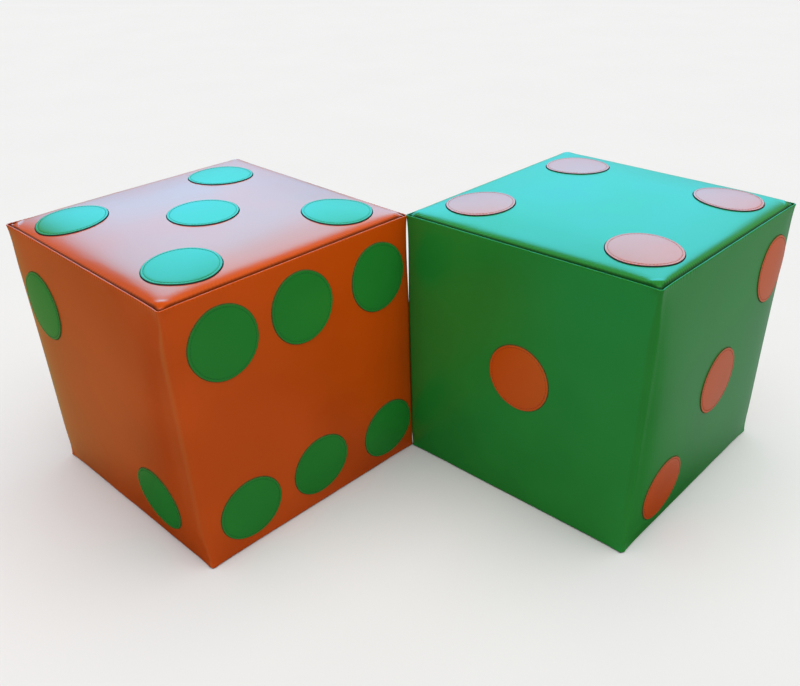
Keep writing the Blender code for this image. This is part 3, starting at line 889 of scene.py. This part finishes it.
def thread(name, color):
    """Twisted sewing thread: fine bands of shade."""
    made, tree, principled = shader(name)
    where = node(tree, "ShaderNodeTexCoord").outputs["Object"]
    twist = node(
        tree, "ShaderNodeTexWave", {"Vector": where, "Scale": 500.0, "Distortion": 1.5},
        bands_direction="DIAGONAL",
    )
    darker = tuple(channel * 0.6 for channel in color)
    body = ramp(tree, twist.outputs["Fac"], [(0.2, darker), (0.7, color)])
    tree.links.new(body, principled.inputs["Base Color"])
    principled.inputs["Roughness"].default_value = 0.7
    return made


def foam_material(name, color):
    """Open-celled foam: small pores and a slightly yellowed, uneven colour."""
    made, tree, principled = shader(name)
    where = node(tree, "ShaderNodeTexCoord").outputs["Object"]
    cloud = node(tree, "ShaderNodeTexNoise", {"Vector": where, "Scale": 14.0, "Detail": 4.0})
    pores = node(tree, "ShaderNodeTexVoronoi", {"Vector": where, "Scale": 700.0})
    darker = tuple(channel * 0.9 for channel in color)
    body = ramp(tree, cloud.outputs["Fac"], [(0.3, darker), (0.7, color)])
    tree.links.new(body, principled.inputs["Base Color"])
    pitted = bump(tree, pores.outputs["Distance"], 0.5, 0.6 * MM)
    tree.links.new(pitted, principled.inputs["Normal"])
    principled.inputs["Roughness"].default_value = 0.95
    return made


def woven(name, color):
    """Black zip tape: a fine twill."""
    made, tree, principled = shader(name)
    where = node(tree, "ShaderNodeTexCoord").outputs["Object"]
    waves = []
    for direction in ("X", "Z"):
        wave = node(
            tree, "ShaderNodeTexWave", {"Vector": where, "Scale": 420.0, "Distortion": 0.6},
            bands_direction=direction,
        )
        waves.append(wave.outputs["Fac"])
    threads = product(tree, *waves)
    lighter = tuple(channel * 2.2 for channel in color)
    body = ramp(tree, threads, [(0.1, color), (0.8, lighter)])
    tree.links.new(body, principled.inputs["Base Color"])
    tree.links.new(bump(tree, threads, 0.5, 0.3 * MM), principled.inputs["Normal"])
    principled.inputs["Roughness"].default_value = 0.85
    return made


def metal(name, color):
    """Plated zip metal with fine scratches."""
    made, tree, principled = shader(name)
    where = node(tree, "ShaderNodeTexCoord").outputs["Object"]
    stretched = node(tree, "ShaderNodeMapping", {"Vector": where, "Scale": (1.0, 1.0, 12.0)})
    scratches = node(
        tree, "ShaderNodeTexNoise",
        {"Vector": stretched.outputs["Vector"], "Scale": 260.0, "Detail": 5.0},
    )
    darker = tuple(channel * 0.8 for channel in color)
    body = ramp(tree, scratches.outputs["Fac"], [(0.35, darker), (0.6, color)])
    tree.links.new(body, principled.inputs["Base Color"])
    inputs = {"Value": scratches.outputs["Fac"], "From Min": 0.3, "From Max": 0.7}
    gloss = node(tree, "ShaderNodeMapRange", {**inputs, "To Min": 0.22, "To Max": 0.42})
    tree.links.new(gloss.outputs["Result"], principled.inputs["Roughness"])
    principled.inputs["Metallic"].default_value = 1.0
    return made


# ---------------------------------------------------------------- camera, floor and lights


def add_camera():
    """The photograph's view: a little above the dice, almost square to the line between them."""
    data = bpy.data.cameras.new("camera")
    data.sensor_width = 36.0
    data.lens = 37.92
    data.shift_x = -0.0333
    data.shift_y = 0.0579
    camera = bpy.data.objects.new("camera", data)
    bpy.context.scene.collection.objects.link(camera)
    camera.location = (-0.0169, -1.1521, 0.8276)
    heading = Matrix.Rotation(math.radians(-2.07), 4, "Z")
    pitch = Matrix.Rotation(math.radians(90 - 32.05), 4, "X")
    roll = Matrix.Rotation(math.radians(-0.74), 4, "Z")
    camera.rotation_euler = (heading @ pitch @ roll).to_euler()
    bpy.context.scene.camera = camera


def add_floor():
    bpy.ops.mesh.primitive_plane_add(size=30.0, location=(0, 0, 0))
    floor = bpy.context.object
    floor.name = "studio_floor"
    finish = plain("studio_floor", (0.78, 0.78, 0.78), 0.9)
    finish.node_tree.nodes["Principled BSDF"].inputs["Specular IOR Level"].default_value = 0.0
    floor.data.materials.append(finish)
    floor.visible_glossy = False


def add_lights():
    """A soft light overhead and a studio all round: pale above, dim below the horizon but for a
    glow to each side, and with a broad window behind the dice, which shows only in the gloss."""
    world = bpy.data.worlds.new("studio")
    world.use_nodes = True
    tree = world.node_tree
    direction = node(tree, "ShaderNodeTexCoord").outputs["Generated"]
    parts = node(tree, "ShaderNodeSeparateXYZ", {"Vector": direction})
    x, y, z = (parts.outputs[axis] for axis in "XYZ")
    to_right = smooth_range(tree, x, -0.8, 0.8)
    flanks = blend_colors(tree, to_right, (0.34, 0.42, 0.17, 1.0), (0.38, 0.47, 0.45, 1.0))
    turned = node(tree, "ShaderNodeMath", {0: x, 1: 0.2, 2: y}, operation="MULTIPLY_ADD")
    beside = product(
        tree,
        smooth_range(tree, turned.outputs["Value"], 0.08, 0.22),
        smooth_range(tree, z, -0.64, -0.55),
    )
    ground = blend_colors(tree, beside, (0.008, 0.008, 0.006, 1.0), flanks)
    above = smooth_range(tree, z, -0.12, 0.25)
    studio = blend_colors(tree, above, ground, (0.36, 0.37, 0.38, 1.0))
    glossy = node(tree, "ShaderNodeLightPath").outputs["Is Glossy Ray"]
    # The window's left jamb leans, so its reflection ends along the orange die's left seam.
    slanted = node(tree, "ShaderNodeMath", {0: z, 1: -1.6, 2: x}, operation="MULTIPLY_ADD")
    in_window = product(
        tree,
        smooth_range(tree, slanted.outputs["Value"], -1.29, -1.16),
        smooth_range(tree, x, -0.50, -0.40),
        smooth_range(tree, x, 0.56, 0.45),
        smooth_range(tree, z, 0.0, 0.12),
        smooth_range(tree, z, 0.72, 0.59),
        smooth_range(tree, y, 0.0, 0.1),
        glossy,
    )
    upper_part = smooth_range(tree, z, 0.15, 0.50)
    pane = blend_colors(tree, upper_part, (0.42, 2.05, 3.05, 1.0), (0.80, 4.75, 7.1, 1.0))
    # It is brighter behind the orange die than behind the green one.
    brighter = product(tree, upper_part, smooth_range(tree, x, 0.02, -0.20))
    pane = blend_colors(tree, brighter, pane, (1.12, 1.29, 1.33, 1.0), kind="MULTIPLY")
    in_front = product(tree, glossy, smooth_range(tree, y, 0.12, -0.10))
    front_left = product(
        tree,
        smooth_range(tree, x, -0.3, -0.6),
        smooth_range(tree, y, -0.05, -0.23),
        smooth_range(tree, z, -0.75, -0.3),
        smooth_range(tree, z, 0.1, -0.1),
    )
    front = blend_colors(tree, front_left, (0.02, 0.02, 0.015, 1.0), (0.01, 1.1, 0.6, 1.0))
    dimmed = blend_colors(tree, in_front, studio, front)
    lit = blend_colors(tree, in_window, dimmed, pane)
    tree.links.new(lit, tree.nodes["Background"].inputs["Color"])
    bpy.context.scene.world = world
    bpy.context.scene.view_settings.view_transform = "Standard"
    data = bpy.data.lights.new("overhead", "SUN")
    data.energy = 2.5
    data.color = (1.0, 0.99, 0.97)
    data.angle = math.radians(75)
    light = bpy.data.objects.new("overhead", data)
    bpy.context.scene.collection.objects.link(light)
    light.rotation_euler = Vector((-0.12, 0.12, -1.0)).to_track_quat("-Z", "Y").to_euler()
    light.visible_glossy = False


# ---------------------------------------------------------------- the object

ORANGE = (0.56, 0.066, 0.0006)
GREEN = (0.016, 0.225, 0.026)
orange_vinyl = vinyl("orange_vinyl_finish", ORANGE, 3.0, 0.56, tint=(1.0, 0.80, 0.45))
green_vinyl = vinyl("green_vinyl_finish", GREEN, 11.0, 0.38, tint=(1.0, 1.0, 1.0))
edge_finish = cut_edge("cut_edge_finish", (0.095, 0.125, 0.030))
# A darker copy of the cut edge for the pips on the upper face: painted shade along their edges.
painted_shade_edge_finish = cut_edge("cut_edge_painted_shade_finish", (0.028, 0.042, 0.050))
foam_finish = foam_material("foam_finish", (0.80, 0.74, 0.55))
tape_finish = woven("tape_finish", (0.012, 0.012, 0.013))
coil_finish = plain("coil_finish", (0.016, 0.016, 0.017), 0.42)
thread_finish = thread("thread_finish", (0.03, 0.03, 0.03))
green_thread = thread("green_thread_finish", (0.014, 0.15, 0.035))
orange_thread = thread("orange_thread_finish", (0.42, 0.045, 0.006))
metal_finish = metal("zip_metal_finish", (0.62, 0.60, 0.57))

ORANGE_FACES = {0: "two", 1: "six", 2: "three", 3: "one", "top": "five", "bottom": "four"}
GREEN_FACES = {0: "one", 1: "three", 2: "six", 3: "two", "top": "four", "bottom": "five"}


def make_pips(die, face, word, materials):
    """The pips of one face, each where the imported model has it. Returns their stitches."""
    stitches = []
    for count in range(1, PIP_COUNTS[word] + 1):
        name = f"{die.prefix}_pip_{word}_{count}"
        low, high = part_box(name)
        at = die.place.inverted() @ ((low + high) / 2)
        x, y = {
            0: (-at.y, at.z), 1: (at.x, at.z), 2: (at.y, at.z), 3: (-at.x, at.z),
            "top": (at.x, at.y), "bottom": (at.x, -at.y),
        }[face]
        if face not in ("top", "bottom"):
            y -= die.bottom + die.half
        piece, made = make_pip(die, face, name, x, y, materials)
        stitches += made
    return stitches


def make_die(die, cover, spots, pip_thread, faces):
    settle(die)
    band = make_band(die, [cover])
    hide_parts(f"{die.prefix}_side_band")
    for upper, where in ((True, "top"), (False, "bottom")):
        node_name = f"{die.prefix}_{faces[where]}_panel"
        panel = make_end(die, upper, f"{die.prefix}_cover_{faces[where]}", [cover])
        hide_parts(node_name)
    stitches = []
    for face, word in faces.items():
        # The upper face's pips take the darker cut edge, which is painted shade.
        edge = painted_shade_edge_finish if face == "top" else edge_finish
        stitches += make_pips(die, face, word, [spots, edge])
    points, stitch_faces = gather_pieces(stitches)
    name = f"{die.prefix}_pip_stitches"
    sewing = add_mesh(name, points, stitch_faces, die, [pip_thread])
    make_foam(die)
    make_zip(die)


add_camera()
add_floor()
add_lights()
orange_die = Die(
    "orange", zip_side=3, seed=5, soft_corner=15 * MM, crown=4 * MM, shoulder=(5.5 * MM, 5.5 * MM),
    slack=(5.0, 0.0), swells={2: 2.8 * MM},
    leans={(-1, -1): (-4, 2, -3), (1, 1): (-2, 0, 2)},
)
green_die = Die(
    "green", zip_side=2, seed=8, soft_corner=10 * MM, crown=3 * MM, shoulder=(5 * MM, 3.1 * MM),
    slack=(1.2, 2.4), swells={0: 2.8 * MM},
    leans={(-1, -1): (1, 0, 5), (-1, 1): (-1, 1, 1)},
)
make_die(orange_die, orange_vinyl, green_vinyl, green_thread, ORANGE_FACES)
make_die(green_die, green_vinyl, orange_vinyl, orange_thread, GREEN_FACES)
